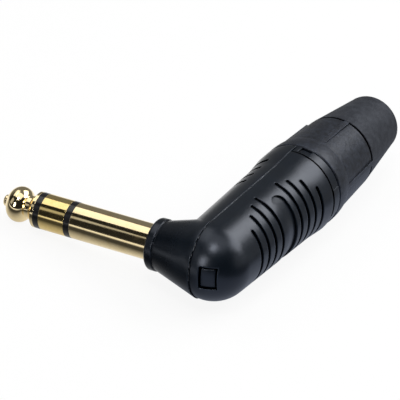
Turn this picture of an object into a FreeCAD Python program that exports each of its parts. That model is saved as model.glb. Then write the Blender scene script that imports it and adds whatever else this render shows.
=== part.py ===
import FreeCAD, Part
import math
import os
from FreeCAD import Vector

# Right-angle stereo plug, 6.35 mm, in millimetres.
# Bench frame: the shaft runs along -X with its tip at the far end, the grip runs along +Y,
# and the two axes cross at the bench origin. The finished pieces are then laid on their side.

# Plug shaft, measured outwards from the shoulder
shaft_diameter = 6.35
sleeve_length = 15.1
ring_band_width = 1.2
ring_length = 4.9
tip_band_width = 1.15
tip_length = 7.15

# Turned tip
tip_collar_width = 0.55
tip_chamfer_length = 1.0
tip_neck_diameter = 4.1
tip_neck_length = 0.75
ball_diameter = 6.3
ball_length = 3.6
ball_end_diameter = 4.2
nose_diameter = 2.1
nose_length = 1.1
nose_round = 0.4

# Tubes inside the shaft, from the centre rod outwards
rod_diameter = 1.8
insulating_wall = 0.56
ring_tube_wall = 0.5
nest_gap = 0.02
rod_overhang = 0.6
rod_chamfer = 0.25

# Stack behind the shoulder, on the centre rod
sleeve_seat_depth = 8.0
sleeve_shank_diameter = 6.0
sleeve_flange_diameter = 7.8
sleeve_flange_thickness = 1.0
sleeve_flange_flat = 3.3
sleeve_spigot_diameter = 5.9
lug_thickness = 0.5
lug_ring_diameter = 6.2
lug_tail_width = 2.4
lug_tail_reach = 9.5
lug_hole_diameter = 1.2
lug_hole_inset = 1.3
side_lug_angle = 20.0
lug_gap = 0.1
washer_thickness = 0.9
washer_diameter = 6.4
push_nut_diameter = 4.2
push_nut_thickness = 0.5
push_nut_slits = 6
push_nut_slit_width = 0.3
push_nut_slit_reach = 0.7

# Nose of the housing, around the shaft
axis_offset = 11.6
nose_rim_diameter = 9.2
nose_rim_length = 1.5
nose_rim_round = 0.6
nose_step = 0.18
contact_pad_diameter = 9.2

# Grip: a ball end that flows into a slightly leaning taper, then a collar
elbow_room = 2.5
elbow_lean = 0.4
grip_length = 24.0
grip_end_radius = 7.65
collar_swell = 4.3
collar_length = 7.0
collar_chamfer = 0.15
wall = 1.3

# Seam between the carrier half and the cover half
seam_inset_front = 1.45
seam_inset_rear = 0.85
seam_gap = 0.06
seam_lip_thickness = 0.6
seam_lip_height = 0.9
seam_lip_gap = 0.05

# Finger grooves of the cover, spread over an oval
groove_width = 0.85
groove_depth = 0.42
groove_near_depth = 0.1
groove_pitch = 2.4
front_groove_end = 4.5
front_groove_count = 4
rear_groove_end = 18.2
rear_groove_count = 4
oval_centre = 14.6
oval_half_length = 12.3
oval_half_width = 10.4
pad_end = 16.2
pad_width = 3.6
pad_half_angle = 63.0
pad_depth = 0.34
pad_near_depth = 0.04

# Finger grooves of the spine
spine_groove_end = 17.3
spine_groove_pitch = 2.8
spine_groove_count = 4
spine_groove_depth = 0.5
spine_groove_half_angle = 65.0

# Rear band, tongue and prying notches of the cover
band_length = 2.4
band_depth = 0.12
band_line_width = 0.32
band_line_depth = 0.42
tongue_half_angle = 18.0
notch_width = 2.1
notch_depth = 0.45
notch_angle = 80.0
notch_length = 1.9

# Latch window in the ball end, with the carrier's tab in it
window_start = 0.2
window_width = 3.05
window_height = 4.1
latch_gap = 0.38
latch_sink = 0.3
latch_arm_thickness = 0.75
latch_arm_gap = 0.16
latch_root_width = 1.8

# Threaded neck of the carrier half
neck_wall = 1.0
neck_length = 9.8
thread_length = 6.0
thread_depth = 0.45
neck_chamfer = 0.4
neck_floor = 1.5
neck_floor_bore = 8.4
lip_height = 0.45
lip_length = 2.5
lip_gap = 0.05

# Chuck with four jaws, keyed in the neck
chuck_wall = 1.25
chuck_gap = 0.05
chuck_bore = 7.6
chuck_front_gap = 0.5
chuck_ring_length = 6.0
jaw_cone_length = 3.0
jaw_cone_reduction = 0.6
jaw_count = 4
jaw_slot_width = 1.1
jaw_ridge_count = 3
jaw_ridge_height = 0.18
jaw_ridge_pitch = 1.6
key_width = 1.6
key_height = 0.45
key_length = 5.0
key_inset = 0.4
key_gap = 0.08

# Nut of the boot
nut_front_gap = 0.3
nut_skirt_wall = 1.0
nut_front_drop = 0.02
nut_front_length = 1.3
nut_shoulder_drop = 0.29
nut_shoulder_length = 2.6
nut_shoulder_bulge = 0.05
nut_end_drop = 0.32
nut_length = 14.55
nut_edge = 0.22
nut_thread_gap = 0.08
nut_skirt_gap = 0.06
nut_neck_gap = 0.4
nut_cone_gap = 0.06
panel_count = 5
panel_first_angle = 15.0
ridge_width = 0.9
panel_front_depth = 0.08
panel_end_depth = 0.34
nut_seat_diameter = 12.6
nut_seat_height = 0.35
spigot_diameter = 10.0
spigot_length = 5.0
spigot_bore = 7.8
spigot_bead_height = 0.35
spigot_bead_width = 1.0

# Rubber end of the boot
rubber_step = 0.4
rubber_end_radius = 5.4
rubber_length = 15.25
rubber_edge = 0.25
rubber_end_round = 1.1
rubber_mouth_chamfer = 0.25
cable_bore = 7.2

# Worked-out places along the shaft
shaft_radius = shaft_diameter / 2
ring_start = sleeve_length + ring_band_width
ring_end = ring_start + ring_length
tip_start = ring_end + tip_band_width
tip_end = tip_start + tip_length
ball_start = tip_start + tip_collar_width + tip_chamfer_length + tip_neck_length
ball_end = ball_start + ball_length
ball_middle = (ball_start + ball_end) / 2
nose_start = tip_end - nose_length

rod_radius = rod_diameter / 2
tip_tube_bore = rod_radius + nest_gap
tip_tube_radius = tip_tube_bore + insulating_wall
ring_tube_bore = tip_tube_radius + nest_gap
ring_tube_radius = ring_tube_bore + ring_tube_wall
ring_band_bore = ring_tube_radius + nest_gap
ring_band_tube_radius = ring_band_bore + insulating_wall
sleeve_bore = ring_band_tube_radius + nest_gap

sleeve_lug_depth = sleeve_seat_depth
sleeve_washer_depth = sleeve_lug_depth + lug_thickness
ring_lug_depth = sleeve_washer_depth + washer_thickness
ring_washer_depth = ring_lug_depth + lug_thickness
tip_lug_depth = ring_washer_depth + washer_thickness
push_nut_depth = tip_lug_depth + lug_thickness
rod_end_depth = push_nut_depth + push_nut_thickness + rod_overhang

# Worked-out places along the grip
elbow_radius = washer_diameter / 2 + elbow_room + wall
chuck_radius = chuck_bore / 2 + chuck_wall
neck_bore = chuck_radius + chuck_gap
thread_core_radius = neck_bore + neck_wall
neck_radius = thread_core_radius + thread_depth
lip_radius = neck_radius + lip_height
skirt_bore = lip_radius + nut_skirt_gap
nut_front_radius = skirt_bore + nut_skirt_wall
collar_radius = nut_front_radius + nut_front_drop
housing_length = grip_length + collar_length
neck_end = housing_length + neck_length
neck_stop = grip_length + neck_floor
chuck_start = neck_stop + chuck_front_gap
nut_start = housing_length + nut_front_gap
nut_end = nut_start + nut_length
rubber_end = nut_end + rubber_length
nut_shoulder_radius = nut_front_radius - nut_shoulder_drop
nut_end_radius = nut_shoulder_radius - nut_end_drop
rubber_start_radius = nut_end_radius - rubber_step
nut_step = neck_end + nut_neck_gap
thread_start = neck_end - thread_length
skirt_end = thread_start - nut_neck_gap
nut_bore = neck_radius + nut_thread_gap
jaw_end = nut_step + nut_neck_gap + jaw_cone_length
seat_end = nut_end + nut_seat_height

# Side on which the plug lies: the collar and the ball of the tip both touch the surface
ball_reach = axis_offset + ball_middle
rest_angle = math.degrees(math.asin((collar_radius - ball_diameter / 2) / ball_reach))

ORIGIN = Vector(0, 0, 0)
ALONG_X = Vector(1, 0, 0)
ALONG_Y = Vector(0, 1, 0)


def outline_face(place, start, steps):
    """Closed face through (axial, radius) points; a pair of points is an arc's middle and end."""
    edges = []
    here = start
    for step in list(steps) + [start]:
        is_arc = isinstance(step[0], tuple)
        end = step[1] if is_arc else step
        if is_arc:
            edges.append(Part.Arc(place(here), place(step[0]), place(end)).toShape())
        else:
            edges.append(Part.LineSegment(place(here), place(end)).toShape())
        here = end
    return Part.Face(Part.Wire(edges))


def on_shaft(point):
    """Point of the shaft's half section; the axial value counts outwards from the shoulder."""
    return Vector(-axis_offset - point[0], point[1], 0)


def on_grip(point):
    """Point of the grip's half section; the axial value counts from the shaft's axis."""
    return Vector(point[1], point[0], 0)


def turned_shaft(start, *steps):
    return outline_face(on_shaft, start, steps).revolve(ORIGIN, ALONG_X, 360)


def turned_grip(start, *steps):
    return outline_face(on_grip, start, steps).revolve(ORIGIN, ALONG_Y, 360)


def grip_tube(first, last, inner, outer):
    """Plain tube about the grip's axis."""
    return turned_grip((first, inner), (last, inner), (last, outer), (first, outer))


def grip_rod(first, last, radius):
    return Part.makeCylinder(radius, last - first, Vector(0, first, 0), ALONG_Y)


def shaft_disc(depth, thickness, bore, radius):
    """Washer about the shaft's axis, its front face at a depth behind the shoulder."""
    return turned_shaft((-depth, bore), (-depth, radius),
                        (-depth - thickness, radius), (-depth - thickness, bore))


def centre_at(y):
    """The leaning grip's centre line, as an offset towards the shaft that ends at the collar."""
    return -elbow_lean * (1 - y / grip_length)


def radius_at(y):
    """Outer radius of the tapered grip."""
    return elbow_radius + (grip_end_radius - elbow_radius) * y / grip_length


def leaning_form(inset):
    """Ball end and leaning taper of the grip, all round smaller by the inset."""
    taper = math.atan((grip_end_radius - elbow_radius) / grip_length)
    front = elbow_radius - inset
    ball_radius = front / math.cos(taper)
    ball_centre = Vector(centre_at(0), ball_radius * math.sin(taper), 0)
    ball = Part.makeSphere(ball_radius, ball_centre)
    front_half = Part.makeBox(4 * elbow_radius, 2 * elbow_radius, 4 * elbow_radius,
                              Vector(-2 * elbow_radius, -2 * elbow_radius, -2 * elbow_radius))
    circles = []
    for y in (0, grip_length):
        ring = Part.makeCircle(radius_at(y) - inset, Vector(centre_at(y), y, 0), ALONG_Y)
        circles.append(Part.Wire(ring))
    cap = [face for face in ball.common(front_half).Faces if isinstance(face.Surface, Part.Sphere)]
    side = Part.makeLoft(circles, False, True)
    skin = Part.Compound(cap + side.Faces + [Part.Face(circles[1])])
    skin.sewShape()
    return Part.Solid(skin.Shells[0])


def grip_form():
    """Whole outer form of the two housing halves, without the nose."""
    swell_end = grip_length + collar_swell
    collar = turned_grip((grip_length, 0), (grip_length, grip_end_radius),
                         (swell_end, collar_radius),
                         (housing_length - collar_chamfer, collar_radius),
                         (housing_length, collar_radius - collar_chamfer),
                         (housing_length, 0))
    return leaning_form(0).fuse(collar)


def nose_form():
    """Nose of the housing: a rounded rim, a small step and a cone that flares to the seam."""
    rim = nose_rim_diameter / 2
    base_depth = axis_offset - seam_inset_front
    face_edge = rim - nose_rim_round
    corner = nose_rim_round * (1 - math.sqrt(0.5))
    return turned_shaft((0, 0), (0, face_edge),
                        ((-corner, rim - corner), (-nose_rim_round, rim)),
                        (-nose_rim_length, rim),
                        (-nose_rim_length - nose_step, rim - nose_step),
                        (-base_depth, elbow_radius),
                        (-base_depth, 0))


def seam_side(towards_cover, shift):
    """Everything on one side of the seam plane, which is moved away from the shaft by the shift."""
    reach = 4 * collar_radius
    first = -2 * collar_radius
    last = rubber_end
    slope = (seam_inset_front - seam_inset_rear) / grip_length
    line = [Vector(shift - seam_inset_front + slope * y, y, -reach) for y in (first, last)]
    far = reach if towards_cover else -reach
    corners = [line[0], line[1], Vector(far, last, -reach), Vector(far, first, -reach), line[0]]
    return Part.Face(Part.makePolygon(corners)).extrude(Vector(0, 0, 2 * reach))


def sector(face, centre_x, half_angle, turn):
    """Face swept both ways about the grip's local centre line, from a middle direction."""
    pivot = Vector(centre_x, 0, 0)
    face = face.copy()
    face.rotate(pivot, ALONG_Y, turn - half_angle)
    return face.revolve(pivot, ALONG_Y, 2 * half_angle)


def finger_groove(last, width, half_angle, near_depth, far_depth, turn):
    """Cutter of one groove with round ends: its floor drops to a steep wall at its rear edge."""
    first = last - width
    middle = last - width / 2
    centre = centre_at(middle)
    radius = radius_at(middle)
    side = centre + radius
    spare = 4 * far_depth
    round_angle = math.degrees(width / 2 / radius)
    floor = outline_face(on_grip, (first, side - near_depth),
                         [(last, side - far_depth), (last, side + spare), (first, side + spare)])
    strip = outline_face(on_grip, (first, side - spare),
                         [(last, side - spare), (last, side + spare), (first, side + spare)])
    mask = sector(strip, centre, half_angle - round_angle, turn)
    for end in (-1, 1):
        angle = math.radians(turn + end * (half_angle - round_angle))
        outward = Vector(math.cos(angle), 0, -math.sin(angle))
        foot = Vector(centre, middle, 0) + outward * (radius - spare)
        mask = mask.fuse(Part.makeCylinder(width / 2, 2 * spare, foot, outward))
    return sector(floor, centre, half_angle, turn).common(mask)


def oval_half_angle(y):
    """Half angle of a cover groove, so that the grooves together fill an oval."""
    share = 1 - ((y - oval_centre) / oval_half_length) ** 2
    return math.degrees(oval_half_width * math.sqrt(share) / radius_at(y))


def cover_grooves():
    cutters = []
    ends = [front_groove_end + groove_pitch * k for k in range(front_groove_count)]
    ends += [rear_groove_end + groove_pitch * k for k in range(rear_groove_count)]
    for last in ends:
        half_angle = oval_half_angle(last)
        cutters.append(finger_groove(last, groove_width, half_angle,
                                     groove_near_depth, groove_depth, 0))
    cutters.append(finger_groove(pad_end, pad_width, pad_half_angle,
                                 pad_near_depth, pad_depth, 0))
    return cutters


def spine_grooves():
    cutters = []
    for k in range(spine_groove_count):
        last = spine_groove_end + spine_groove_pitch * k
        cutters.append(finger_groove(last, groove_width, spine_groove_half_angle,
                                     groove_near_depth, spine_groove_depth, 180))
    return cutters


def make_tip_contact():
    ball_top = ball_diameter / 2
    neck = tip_neck_diameter / 2
    chamfer_start = tip_start + tip_collar_width
    neck_start = chamfer_start + tip_chamfer_length
    nose = nose_diameter / 2
    corner = nose_round * (1 - math.sqrt(0.5))
    rod_end = -rod_end_depth
    return turned_shaft((rod_end, 0), (rod_end, rod_radius - rod_chamfer),
                        (rod_end + rod_chamfer, rod_radius), (tip_start, rod_radius),
                        (tip_start, shaft_radius), (chamfer_start, shaft_radius),
                        (neck_start, neck), (ball_start, neck),
                        ((ball_middle, ball_top), (ball_end, ball_end_diameter / 2)),
                        (nose_start, nose), (tip_end - nose_round, nose),
                        ((tip_end - corner, nose - corner), (tip_end, nose - nose_round)),
                        (tip_end, 0))


def make_tip_insulator():
    return turned_shaft((-ring_washer_depth, tip_tube_bore), (tip_start, tip_tube_bore),
                        (tip_start, shaft_radius), (ring_end, shaft_radius),
                        (ring_end, tip_tube_radius), (-ring_washer_depth, tip_tube_radius))


def make_ring_contact():
    return turned_shaft((-ring_washer_depth, ring_tube_bore), (ring_end, ring_tube_bore),
                        (ring_end, shaft_radius), (ring_start, shaft_radius),
                        (ring_start, ring_tube_radius), (-ring_washer_depth, ring_tube_radius))


def make_ring_insulator():
    return turned_shaft((-sleeve_washer_depth, ring_band_bore), (ring_start, ring_band_bore),
                        (ring_start, shaft_radius), (sleeve_length, shaft_radius),
                        (sleeve_length, ring_band_tube_radius),
                        (-sleeve_washer_depth, ring_band_tube_radius))


def make_sleeve_contact():
    flange_front = -sleeve_seat_depth + sleeve_flange_thickness
    flange = sleeve_flange_diameter / 2
    spigot = sleeve_spigot_diameter / 2
    shank = sleeve_shank_diameter / 2
    tube = turned_shaft((sleeve_length, sleeve_bore), (sleeve_length, shaft_radius),
                        (0, shaft_radius), (0, shank), (flange_front, shank),
                        (flange_front, flange),
                        (-sleeve_seat_depth, flange), (-sleeve_seat_depth, spigot),
                        (-sleeve_washer_depth, spigot), (-sleeve_washer_depth, sleeve_bore))
    return tube.cut(flange_flats(0))


def flange_flats(gap):
    """Two blocks that cut flats on the flange, so that the sleeve can't turn in the nose."""
    reach = 2 * sleeve_flange_diameter
    blocks = []
    for side in (-1, 1):
        low = sleeve_flange_flat + gap if side > 0 else -sleeve_flange_flat - gap - reach
        corner = Vector(-axis_offset + sleeve_seat_depth - sleeve_flange_thickness, low, -reach / 2)
        blocks.append(Part.makeBox(sleeve_flange_thickness, reach, reach, corner))
    return blocks[0].fuse(blocks[1])


def make_lug(depth, bore, angle):
    """Stamped solder lug: a ring on the stack and a tail with a wire hole."""
    front = -axis_offset + depth
    centre = Vector(front, 0, 0)
    ring = Part.makeCylinder(lug_ring_diameter / 2, lug_thickness, centre, ALONG_X)
    tail_length = lug_tail_reach - lug_tail_width / 2
    tail = Part.makeBox(lug_thickness, tail_length, lug_tail_width,
                        Vector(front, 0, -lug_tail_width / 2))
    tail_end = Vector(front, tail_length, 0)
    tail = tail.fuse(Part.makeCylinder(lug_tail_width / 2, lug_thickness, tail_end, ALONG_X))
    wire_hole = Part.makeCylinder(lug_hole_diameter / 2, lug_thickness,
                                  Vector(front, lug_tail_reach - lug_hole_inset, 0), ALONG_X)
    tail = tail.cut(wire_hole)
    tail.rotate(centre, ALONG_X, angle)
    lug = ring.fuse(tail).removeSplitter()
    return lug.cut(Part.makeCylinder(bore, lug_thickness, centre, ALONG_X))


def lug_pocket(depth, angle):
    """Cutter of the room in the housing for the tail of a side lug."""
    front = -axis_offset + depth
    pocket = Part.makeBox(lug_thickness + 2 * lug_gap, lug_tail_reach + lug_gap,
                          lug_tail_width + 2 * lug_gap,
                          Vector(front - lug_gap, 0, -lug_tail_width / 2 - lug_gap))
    pocket.rotate(Vector(front, 0, 0), ALONG_X, angle)
    return pocket.cut(Part.makeCylinder(contact_pad_diameter / 2, lug_thickness + 2 * lug_gap,
                                        Vector(front - lug_gap, 0, 0), ALONG_X))


def make_push_nut():
    """Toothed ring that grips the end of the rod and holds the stack together."""
    bore = rod_radius + nest_gap
    nut = shaft_disc(push_nut_depth, push_nut_thickness, bore, push_nut_diameter / 2)
    front = -axis_offset + push_nut_depth
    for k in range(push_nut_slits):
        slit = Part.makeBox(push_nut_thickness, bore + push_nut_slit_reach, push_nut_slit_width,
                            Vector(front, 0, -push_nut_slit_width / 2))
        slit.rotate(Vector(front, 0, 0), ALONG_X, 360 * k / push_nut_slits)
        nut = nut.cut(slit)
    return nut


def neck_form():
    """Ring that carries the thread, with the chuck's bore and its stop."""
    return turned_grip((grip_length, neck_floor_bore / 2), (neck_stop, neck_floor_bore / 2),
                       (neck_stop, neck_bore), (neck_end, neck_bore),
                       (neck_end, thread_core_radius - neck_chamfer),
                       (neck_end - neck_chamfer, thread_core_radius),
                       (thread_start, thread_core_radius), (thread_start, neck_radius),
                       (grip_length, neck_radius))


def key_slots():
    """Cutter of the two slots in which the chuck's keys slide."""
    width = key_width + 2 * key_gap
    reach = chuck_radius + key_height + key_gap
    return Part.makeBox(width, neck_end - neck_stop, 2 * reach,
                        Vector(-width / 2, neck_stop, -reach))


def seam_lip():
    """Thin lip on the carrier that reaches past the seam, just inside the cover's wall."""
    outer = leaning_form(wall + seam_lip_gap)
    inner = leaning_form(wall + seam_lip_gap + seam_lip_thickness)
    rim = outer.cut(inner).cut(grip_rod(grip_length - wall, grip_length, collar_radius))
    rim = rim.common(seam_side(True, -wall)).common(seam_side(False, seam_lip_height))
    root = leaning_form(wall / 2).cut(inner).cut(grip_rod(grip_length - wall, grip_length,
                                                          collar_radius))
    root = root.common(seam_side(True, -wall)).common(seam_side(False, 0))
    return rim.fuse(root)


def window_block(gap, low, high):
    """Block through the latch window, smaller all round by a gap, between two heights along Y."""
    return Part.makeBox(window_width - 2 * gap, high - low, window_height - 2 * gap,
                        Vector(window_start + gap, low, -window_height / 2 + gap))


def latch_form():
    """Tab that snaps into the cover's window, on a springy arm from the carrier's wall."""
    outside = -elbow_radius - wall
    arm_far = window_start + window_width - latch_gap
    cavity_radius = elbow_radius - wall - latch_arm_gap
    reach = arm_far - latch_arm_thickness - centre_at(0)
    arm_low = -math.sqrt(cavity_radius ** 2 - reach ** 2)
    arm_high = arm_low + latch_arm_thickness
    height = window_height - 2 * latch_gap
    root_start = -seam_inset_front - latch_root_width
    tab = window_block(latch_gap, outside, arm_high).common(leaning_form(latch_sink))
    arm = Part.makeBox(arm_far - root_start, arm_high - arm_low, height,
                       Vector(root_start, arm_low, -height / 2))
    arm = arm.common(leaning_form(wall + latch_arm_gap))
    root = Part.makeBox(latch_root_width, arm_high - outside, height,
                        Vector(root_start, outside, -height / 2))
    root = root.common(leaning_form(wall / 2)).common(seam_side(False, 0))
    return tab.fuse(arm).fuse(root)


def make_carrier_half():
    """Housing half with the nose, the spine, the latch tab and the threaded neck."""
    shell = grip_form().common(seam_side(False, 0))
    shell = shell.cut(leaning_form(wall))
    for cutter in spine_grooves():
        shell = shell.cut(cutter)
    nose = nose_form().cut(leaning_form(wall))
    nose = nose.common(seam_side(False, 0))
    pad_start = nose_rim_length + nose_step + wall
    pad_end_x = -axis_offset + sleeve_seat_depth
    pad = Part.makeCylinder(contact_pad_diameter / 2, pad_end_x + axis_offset - pad_start,
                            Vector(-axis_offset + pad_start, 0, 0), ALONG_X)
    half = shell.fuse(nose).fuse(pad).fuse(seam_lip()).fuse(latch_form()).fuse(neck_form())
    half = half.fuse(grip_tube(housing_length, housing_length + lip_length,
                               thread_core_radius, lip_radius).common(seam_side(False, 0)))
    half = half.cut(grip_rod(neck_stop, neck_end, neck_bore)).cut(key_slots())
    half = half.cut(grip_rod(grip_length - wall, neck_stop, neck_floor_bore / 2))
    bore = Part.makeCylinder(sleeve_shank_diameter / 2 + nest_gap, sleeve_seat_depth,
                             Vector(-axis_offset, 0, 0), ALONG_X)
    seat = Part.makeCylinder(sleeve_flange_diameter / 2 + nest_gap, sleeve_flange_thickness,
                             Vector(pad_end_x - sleeve_flange_thickness, 0, 0), ALONG_X)
    half = half.cut(lug_pocket(sleeve_lug_depth, -side_lug_angle))
    half = half.cut(lug_pocket(ring_lug_depth, side_lug_angle))
    return half.cut(bore).cut(seat.cut(flange_flats(nest_gap))).removeSplitter()


def make_cover_half():
    """Housing half with the finger grooves, the latch window, the rear band and its tongue."""
    shell = grip_form().common(seam_side(True, seam_gap))
    shell = shell.cut(leaning_form(wall))
    rear_bore = neck_radius + lip_gap
    band_start = housing_length - band_length
    shell = shell.cut(grip_rod(grip_length, housing_length, rear_bore))
    lip = grip_tube(band_start, housing_length + lip_length, rear_bore, lip_radius)
    shell = shell.fuse(lip.common(seam_side(True, seam_gap)))
    band_radius = collar_radius - band_depth
    line_end = band_start + band_line_width
    line_radius = collar_radius - band_line_depth
    band_face = outline_face(on_grip, (band_start, line_radius),
                             [(line_end, line_radius), (line_end, band_radius),
                              (housing_length, band_radius),
                              (housing_length, 2 * collar_radius),
                              (band_start, 2 * collar_radius)])
    side_half_angle = (180 - tongue_half_angle) / 2
    for side in (-1, 1):
        middle = side * (tongue_half_angle + side_half_angle)
        shell = shell.cut(sector(band_face, 0, side_half_angle, middle))
        notch = Part.makeBox(2 * notch_depth, notch_length, notch_width,
                             Vector(band_radius - notch_depth,
                                    housing_length - notch_length, -notch_width / 2))
        notch.rotate(ORIGIN, ALONG_Y, side * notch_angle)
        shell = shell.cut(notch)
    for cutter in cover_grooves():
        shell = shell.cut(cutter)
    return shell.cut(window_block(0, -2 * elbow_radius, 0))


def make_chuck():
    """Collet that grips the cable: a keyed ring and four jaws with a cone at their ends."""
    radius = chuck_radius
    bore = chuck_bore / 2
    cone_start = jaw_end - jaw_cone_length
    chuck = turned_grip((chuck_start, bore), (chuck_start, radius), (cone_start, radius),
                        (jaw_end, radius - jaw_cone_reduction), (jaw_end, bore))
    for k in range(jaw_ridge_count):
        crest = jaw_end - jaw_ridge_pitch * (k + 0.5)
        foot = jaw_ridge_height * 2
        ridge = turned_grip((crest - foot, bore + nest_gap), (crest, bore - jaw_ridge_height),
                            (crest + foot, bore + nest_gap))
        chuck = chuck.fuse(ridge)
    key_reach = radius + key_height
    key = Part.makeBox(key_width, key_length, 2 * key_reach,
                       Vector(-key_width / 2, chuck_start + key_inset, -key_reach))
    chuck = chuck.fuse(key.cut(grip_rod(chuck_start, jaw_end, (radius + bore) / 2)))
    slot_start = chuck_start + chuck_ring_length
    for k in range(jaw_count):
        slot = Part.makeBox(2 * radius, jaw_end - slot_start, jaw_slot_width,
                            Vector(0, slot_start, -jaw_slot_width / 2))
        slot.rotate(ORIGIN, ALONG_Y, 360 * (k + 0.5) / jaw_count)
        chuck = chuck.cut(slot)
    return chuck.removeSplitter()


def make_boot_nut():
    """Nut that screws on the neck and closes the jaws, with raised ridges between its panels."""
    shoulder_start = nut_start + nut_front_length
    shoulder_end = shoulder_start + nut_shoulder_length
    shoulder_middle = (shoulder_start + shoulder_end) / 2
    shoulder_middle_radius = (nut_front_radius + nut_shoulder_radius) / 2 + nut_shoulder_bulge
    bead_middle = seat_end + spigot_length - spigot_bead_width
    spigot = spigot_diameter / 2
    nut = turned_grip((nut_start, skirt_bore), (nut_start, nut_front_radius - nut_edge),
                      (nut_start + nut_edge, nut_front_radius),
                      (shoulder_start, nut_front_radius),
                      ((shoulder_middle, shoulder_middle_radius),
                       (shoulder_end, nut_shoulder_radius)),
                      (nut_end - nut_edge, nut_end_radius),
                      (nut_end, nut_end_radius - nut_edge),
                      (nut_end, nut_seat_diameter / 2), (seat_end, nut_seat_diameter / 2),
                      (seat_end, spigot),
                      (bead_middle - spigot_bead_width / 2, spigot),
                      (bead_middle, spigot + spigot_bead_height),
                      (bead_middle + spigot_bead_width / 2, spigot),
                      (seat_end + spigot_length, spigot),
                      (seat_end + spigot_length, spigot_bore / 2),
                      (jaw_end + nut_neck_gap, spigot_bore / 2),
                      (jaw_end + nut_neck_gap, chuck_radius - jaw_cone_reduction
                       + nut_cone_gap),
                      (jaw_end, chuck_radius - jaw_cone_reduction + nut_cone_gap),
                      (jaw_end - jaw_cone_length, chuck_radius + nut_cone_gap),
                      (nut_step, chuck_radius + nut_cone_gap),
                      (nut_step, nut_bore), (skirt_end, nut_bore), (skirt_end, skirt_bore))
    panel_front_radius = nut_shoulder_radius - panel_front_depth
    panel_face = outline_face(on_grip, (shoulder_end, panel_front_radius),
                              [(nut_end, nut_end_radius - panel_end_depth),
                               (nut_end, 2 * nut_end_radius),
                               (shoulder_end, 2 * nut_end_radius)])
    panel_half_angle = 180 / panel_count - math.degrees(ridge_width / 2 / nut_end_radius)
    first = panel_first_angle + 180 / panel_count - 90
    for k in range(panel_count):
        nut = nut.cut(sector(panel_face, 0, panel_half_angle, first + 360 * k / panel_count))
    return nut


def make_rubber_boot():
    """Soft tapered end around the cable, moulded over the nut's spigot."""
    end_edge = rubber_end_radius - rubber_end_round
    corner = rubber_end_round * (1 - math.sqrt(0.5))
    bore = cable_bore / 2
    socket = spigot_diameter / 2 + nest_gap
    bead_middle = seat_end + spigot_length - spigot_bead_width
    socket_end = seat_end + spigot_length
    return turned_grip((seat_end, socket), (seat_end, rubber_start_radius - rubber_edge),
                       (seat_end + rubber_edge, rubber_start_radius),
                       (rubber_end - rubber_end_round, rubber_end_radius),
                       ((rubber_end - corner, rubber_end_radius - corner),
                        (rubber_end, end_edge)),
                       (rubber_end, bore + rubber_mouth_chamfer),
                       (rubber_end - rubber_mouth_chamfer, bore),
                       (socket_end, bore), (socket_end, socket),
                       (bead_middle + spigot_bead_width / 2, socket),
                       (bead_middle, socket + spigot_bead_height),
                       (bead_middle - spigot_bead_width / 2, socket))


def lay_down(shape):
    """Moves a piece to its final frame: origin at the shoulder, the plug lying on its side."""
    placed = shape.copy()
    placed.translate(Vector(axis_offset, 0, 0))
    placed.rotate(ORIGIN, ALONG_Y, -rest_angle)
    return placed


def make_parts():
    ring_lug_bore = ring_tube_radius + nest_gap
    sleeve_lug_bore = sleeve_spigot_diameter / 2 + nest_gap
    rod_bore = rod_radius + nest_gap
    return {
        "tip_contact": make_tip_contact(),
        "tip_insulator": make_tip_insulator(),
        "ring_contact": make_ring_contact(),
        "ring_insulator": make_ring_insulator(),
        "sleeve_contact": make_sleeve_contact(),
        "sleeve_lug": make_lug(sleeve_lug_depth, sleeve_lug_bore, -side_lug_angle),
        "sleeve_washer": shaft_disc(sleeve_washer_depth, washer_thickness,
                                    ring_lug_bore, washer_diameter / 2),
        "ring_lug": make_lug(ring_lug_depth, ring_lug_bore, side_lug_angle),
        "ring_washer": shaft_disc(ring_washer_depth, washer_thickness,
                                  rod_bore, washer_diameter / 2),
        "tip_lug": make_lug(tip_lug_depth, rod_bore, 0),
        "push_nut": make_push_nut(),
        "carrier_half": make_carrier_half(),
        "cover_half": make_cover_half(),
        "chuck": make_chuck(),
        "boot_nut": make_boot_nut(),
        "rubber_boot": make_rubber_boot(),
    }


os.makedirs("parts", exist_ok=True)
for node, shape in make_parts().items():
    finished = lay_down(shape)
    finished.exportStep(os.path.join("parts", node + ".step"))
    print(node, "solids", len(finished.Solids), "volume", round(finished.Volume, 2),
          "valid", finished.isValid())
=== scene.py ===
"""Dressed model of a right-angle stereo jack plug, lying on a pale floor.

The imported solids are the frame. Each one is copied, joined up and smoothed, and gets
the finish of the real piece: gilded contacts, satin moulded housing, rubber boot.
The neck's thread and the fine line along the seam are made here with Geometry Nodes.
"""
from __future__ import annotations

import logging
import math
from dataclasses import dataclass, replace
from enum import Enum

import bmesh
import bpy
import numpy as np
from mathutils import Euler, Matrix, Vector


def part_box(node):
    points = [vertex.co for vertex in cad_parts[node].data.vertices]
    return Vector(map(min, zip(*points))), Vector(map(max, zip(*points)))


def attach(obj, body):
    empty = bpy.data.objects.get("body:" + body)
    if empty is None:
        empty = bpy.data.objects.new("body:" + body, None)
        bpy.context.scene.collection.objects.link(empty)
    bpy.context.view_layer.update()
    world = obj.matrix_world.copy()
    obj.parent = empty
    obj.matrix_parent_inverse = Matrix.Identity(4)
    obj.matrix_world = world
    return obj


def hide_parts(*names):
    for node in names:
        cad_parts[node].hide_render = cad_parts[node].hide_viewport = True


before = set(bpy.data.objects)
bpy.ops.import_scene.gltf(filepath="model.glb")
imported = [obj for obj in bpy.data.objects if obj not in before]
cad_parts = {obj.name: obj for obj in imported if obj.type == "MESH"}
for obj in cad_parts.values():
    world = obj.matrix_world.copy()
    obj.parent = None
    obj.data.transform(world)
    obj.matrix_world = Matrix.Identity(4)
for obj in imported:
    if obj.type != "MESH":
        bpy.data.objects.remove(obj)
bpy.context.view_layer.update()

log = logging.getLogger("plug")
Point = tuple[float, float, float]
Colour = tuple[float, float, float]
Span = tuple[float, float]
Socket = bpy.types.NodeSocket
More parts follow.
